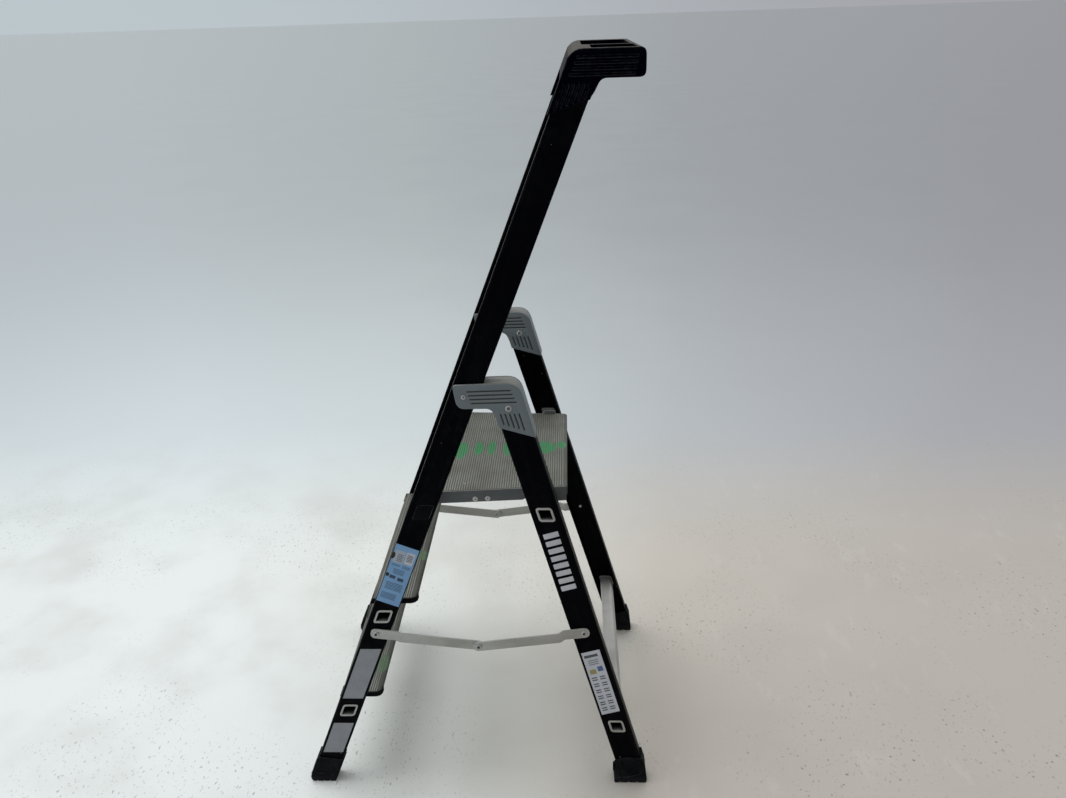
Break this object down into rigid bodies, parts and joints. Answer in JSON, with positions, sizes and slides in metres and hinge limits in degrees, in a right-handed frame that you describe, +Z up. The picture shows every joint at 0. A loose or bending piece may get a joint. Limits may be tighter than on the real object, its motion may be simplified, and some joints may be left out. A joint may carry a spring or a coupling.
{
  "type": "folding platform step ladder",
  "caption": "Folding step ladder with leaning channel stiles, ribbed treads, a hinged standing platform, a rear frame on moulded brackets, side spreader bars and a tray cap.",
  "frame": {"origin": "centre of the footprint on the floor, under the middle of the bounding box", "axes": "+X to the back of the ladder, +Y to the climber's left, +Z up"},
  "size_m": [0.7812, 0.569, 1.57],
  "materials": {
    "black_paint": "satin black powder coat, scratched",
    "aluminium": "dull mill-finish aluminium, dusty",
    "bright_metal": "bright zinc-plated steel",
    "grey_plastic": "mid-grey moulded plastic",
    "dark_plastic": "dark grey moulded plastic",
    "black_plastic": "black moulded plastic, dusty on top",
    "rubber": "matte black rubber",
    "grey_label": "light grey film label",
    "blue_label": "light blue film label",
    "white_label": "white film label"
  },
  "bodies": {
    "front_frame": {"fold_rivet_left": "bright_metal", "fold_rivet_right": "bright_metal", "front_foot_left": "rubber", "front_foot_right": "rubber", "hinge_block_left": "black_plastic", "hinge_block_right": "black_plastic", "hinge_pin_left": "bright_metal", "hinge_pin_right": "bright_metal", "label_stile_high": "blue_label", "label_stile_low": "grey_label", "label_stile_mid": "grey_label", "spreader_rivet_front_left": "bright_metal", "spreader_rivet_front_right": "bright_metal", "stile_left": "black_paint", "stile_right": "black_paint", "top_cap": "black_plastic", "tread_1": "aluminium", "tread_1_cap_left": "black_plastic", "tread_1_cap_right": "black_plastic", "tread_1_tube": "aluminium", "tread_2": "aluminium", "tread_2_cap_left": "black_plastic", "tread_2_cap_right": "black_plastic", "tread_2_tube": "aluminium"},
    "rear_frame": {"bracket_left": "grey_plastic", "bracket_right": "grey_plastic", "bracket_screw_left": "bright_metal", "bracket_screw_right": "bright_metal", "label_leg": "white_label", "rear_foot_left": "rubber", "rear_foot_right": "rubber", "rear_leg_left": "black_paint", "rear_leg_right": "black_paint", "rear_tube_lower": "aluminium", "rear_tube_upper": "aluminium", "spreader_rivet_rear_left": "bright_metal", "spreader_rivet_rear_right": "bright_metal"},
    "platform": {"platform_deck": "aluminium", "platform_rivet_left_1": "bright_metal", "platform_rivet_left_2": "bright_metal", "platform_rivet_right_1": "bright_metal", "platform_rivet_right_2": "bright_metal", "platform_side_left": "dark_plastic", "platform_side_right": "dark_plastic"},
    "spreader_front_right": {"spreader_front_right": "aluminium"},
    "spreader_front_left": {"spreader_front_left": "aluminium"},
    "spreader_rear_right": {"spreader_rear_right": "aluminium", "spreader_rivet_middle_right": "bright_metal"},
    "spreader_rear_left": {"spreader_rear_left": "aluminium", "spreader_rivet_middle_left": "bright_metal"}
  },
  "joints": [
    {"name": "frame_fold", "type": "hinge", "parent": "front_frame", "child": "rear_frame", "pos_m": [0.0216, 0, 0.957], "axis": [0, 1, 0], "range_deg": [0, 36.9]},
    {"name": "platform_lift", "type": "hinge", "parent": "front_frame", "child": "platform", "pos_m": [-0.076, 0, 0.704], "axis": [0, 1, 0], "range_deg": [-68, 0]},
    {"name": "spreader_front_pivot_right", "type": "hinge", "parent": "front_frame", "child": "spreader_front_right", "pos_m": [-0.1994, -0.26, 0.4124], "axis": [0, 1, 0], "range_deg": [-71.07, 0]},
    {"name": "spreader_rear_pivot_right", "type": "hinge", "parent": "rear_frame", "child": "spreader_rear_right", "pos_m": [0.2492, -0.26, 0.413], "axis": [0, 1, 0], "range_deg": [0, 65.92]},
    {"name": "spreader_front_pivot_left", "type": "hinge", "parent": "front_frame", "child": "spreader_front_left", "pos_m": [-0.1994, 0.26, 0.4124], "axis": [0, 1, 0], "range_deg": [-71.07, 0]},
    {"name": "spreader_rear_pivot_left", "type": "hinge", "parent": "rear_frame", "child": "spreader_rear_left", "pos_m": [0.2492, 0.26, 0.413], "axis": [0, 1, 0], "range_deg": [0, 65.92]}
  ],
  "couplings": [
    {"joint": "spreader_front_pivot_right", "follows": "frame_fold", "ratio": -1.9259},
    {"joint": "spreader_rear_pivot_right", "follows": "frame_fold", "ratio": 1.7862},
    {"joint": "spreader_front_pivot_left", "follows": "frame_fold", "ratio": -1.9259},
    {"joint": "spreader_rear_pivot_left", "follows": "frame_fold", "ratio": 1.7862}
  ]
}
